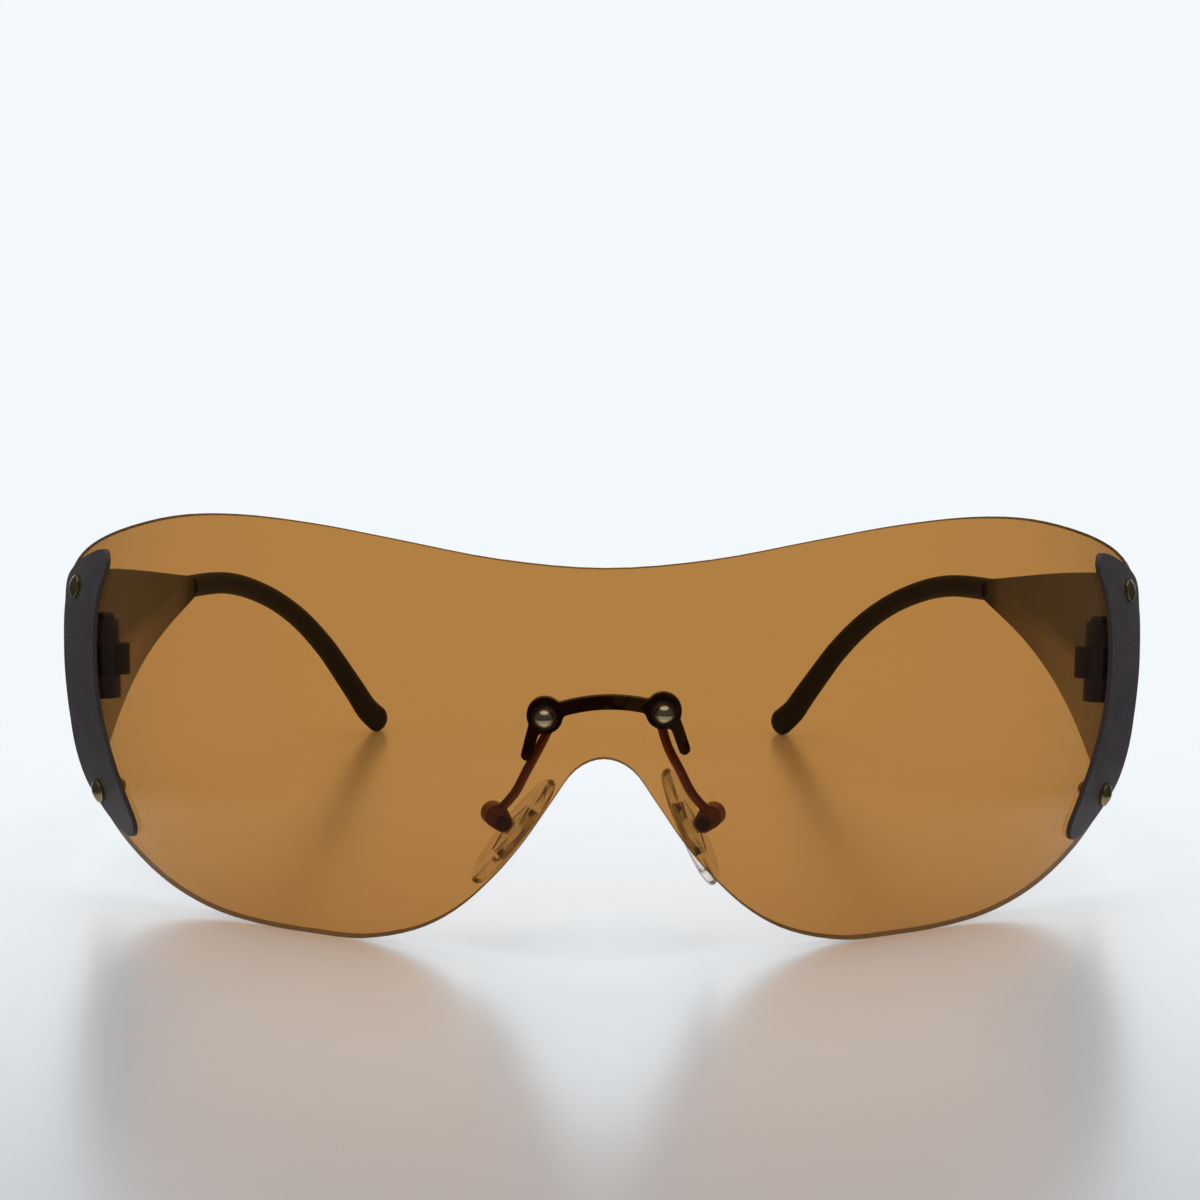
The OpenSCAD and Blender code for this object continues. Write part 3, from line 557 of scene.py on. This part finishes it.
# %% Charcoal tips
CHARCOAL = (0.010, 0.010, 0.012), (0.018, 0.018, 0.022)
charcoal, paint = new_finish("charcoal_tips")
skin = paint.noise(5.0, 2.0)
painted(
    paint,
    Base_Color=paint.mix(paint.noise(0.3), *CHARCOAL),
    Roughness=0.46 + skin * 0.12,
    Specular_IOR_Level=0.22,
    Normal=paint.bump(skin, 0.006, 0.4),
)
dress(charcoal, *both("tip_sleeve"))

# %% [markdown]
# ## Clear pieces
# The bushings round the bridge screws and the cores inside the pads are hard clear plastic.
# The pads are moulded silicone, a little softer and cloudier, so noise drives how rough
# they are, and an attribute painted on their rims makes those a little yellower. Real silicone
# bends light more than here, by an index of 1.41. At 1.25 the pads keep the clear look that
# they have against the bright table.

# %% Clear finishes
CLEAR = (0.93, 0.92, 0.88), (0.88, 0.86, 0.80)
SILICONE, SILICONE_RIM = ((1.0, 1.0, 0.98), (0.97, 0.965, 0.93)), (0.95, 0.90, 0.77)
PLASTIC_INDEX, SILICONE_INDEX = 1.49, 1.25
clear, paint = new_finish("clear_plastic")
haze_spots = paint.noise(1.0, 2.0)
painted(paint, Base_Color=paint.mix(haze_spots, *CLEAR),
        Roughness=0.05 + haze_spots * 0.08, IOR=PLASTIC_INDEX, Transmission_Weight=1.0)
dress(clear, "bridge_bushings", *both("pad_core"))
silicone, paint = new_finish("clear_silicone")
cloudy = paint.noise(0.5, 2.0)
rim = paint.node("ShaderNodeAttribute", {"attribute_name": "rim"}, None, 2)
painted(paint, Base_Color=paint.mix(rim, paint.mix(cloudy, *SILICONE), SILICONE_RIM),
        Roughness=0.05 + cloudy * 0.08, IOR=SILICONE_INDEX, Transmission_Weight=0.93,
        Normal=paint.bump(cloudy, 0.05, 0.3))
print("index of the plastic and of the silicone:", PLASTIC_INDEX, SILICONE_INDEX)

# %% [markdown]
# ## Nose pads
# A pad is a long oval cushion of silicone round its hard core. The side that faces away from
# the nose is almost flat inside a rounded rim, and the side that rests on the nose is
# crowned. It could be sculpted from a subdivided box. Here ovals are stacked from a list of
# depths and shrinks in millimetres, because the list can be read and changed like a drawing.

# %% Ovals of a pad
PAD_LENGTH, PAD_WIDTH = 15.0, 7.5
PAD_OUTER_X = -1.25
OVAL_POINTS = 72
SQUARENESS = 0.85
PAD_LAYERS = [
    (0.12, 3.3), (0.08, 2.6), (0.03, 1.9), (0.00, 1.45), (0.04, 1.10), (0.15, 0.76),
    (0.31, 0.46), (0.50, 0.26), (0.56, 0.12), (0.70, 0.02), (0.86, 0.02), (1.04, 0.18),
    (1.20, 0.50), (1.34, 0.98), (1.46, 1.60), (1.55, 2.35), (1.60, 3.20),
]


def bulged(value):
    """A cosine or sine that stays large for longer, which makes an oval's corners fuller."""
    return (1 if value > 0 else -1) * abs(value) ** SQUARENESS


def oval(depth, shrink):
    """The points of one layer, in millimetres on the pad's own axes."""
    angles = [2 * pi * k / OVAL_POINTS for k in range(OVAL_POINTS)]
    return [Vector((
        PAD_OUTER_X - depth,
        (PAD_WIDTH / 2 - shrink) * bulged(cos(angle)),
        (PAD_LENGTH / 2 - shrink) * bulged(sin(angle)),
    )) for angle in angles]


print(len(PAD_LAYERS), "layers of", OVAL_POINTS, "points")

# %% [markdown]
# The right pad is turned to face the nose and set at its screw, and the left one is its mirror
# image with a lean of its own, because pads are bent to fit their wearer. The ovals are
# joined ring by ring and closed at both ends, so that the pad is one solid piece.

# %% Pad as a closed mesh
PAD_PLACE_MM = (12.0, -66.2412, 14.3)
SPLAY = 18
LEAN = {"left": 40, "right": 25}


def pad_mesh(side):
    """One pad as a closed mesh in the CAD frame."""
    turn = (Matrix.Rotation(radians(-SPLAY), 4, "Z")
            @ Matrix.Rotation(radians(-LEAN[side]), 4, "Y"))
    flip = -1 if side == "left" else 1
    bm = bmesh.new()
    rings = []
    for layer in PAD_LAYERS:
        placed = [turn @ point + Vector(PAD_PLACE_MM) for point in oval(*layer)]
        rings.append([bm.verts.new((flip * p.x * MM, p.y * MM, p.z * MM)) for p in placed])
    for ring, next_ring in zip(rings, rings[1:]):
        for k in range(OVAL_POINTS):
            m = (k + 1) % OVAL_POINTS
            bm.faces.new((ring[k], ring[m], next_ring[m], next_ring[k]))
    bm.faces.new(rings[0])
    bm.faces.new(rings[-1])
    bmesh.ops.recalc_face_normals(bm, faces=bm.faces)
    mesh = bpy.data.meshes.new(f"silicone_pad_{side}")
    bm.to_mesh(mesh)
    bm.free()
    mesh.polygons.foreach_set("use_smooth", [True] * len(mesh.polygons))
    print(mesh.name, len(mesh.vertices), "points", len(mesh.polygons), "faces")
    return mesh


# %% [markdown]
# The rim's layers are marked with an attribute, which the silicone's colour reads. Each pad
# takes the place of the plain CAD pad and moves with the body that rocks on the pad's screw.

# %% Pads in place
RIM_FROM, RIM_TO = 0.26, 1.10


def mark_rim(mesh):
    """Writes 1 on the points of the rim's layers and 0 on all others."""
    shares = [1.0 if RIM_FROM < depth < RIM_TO else 0.0 for depth, shrink in PAD_LAYERS]
    rim_values = mesh.attributes.new("rim", "FLOAT", "POINT")
    rim_values.data.foreach_set("value", [v for v in shares for k in range(OVAL_POINTS)])


for side in SIDES:
    mesh = pad_mesh(side)
    mark_rim(mesh)
    mesh.materials.append(silicone)
    pad = bpy.data.objects.new(f"silicone_pad_{side}", mesh)
    scene.collection.objects.link(pad)
    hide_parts(f"nose_pad_{side}")
    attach(pad, f"pad_{side}")
    print(pad.name, "rides on", f"pad_{side}")
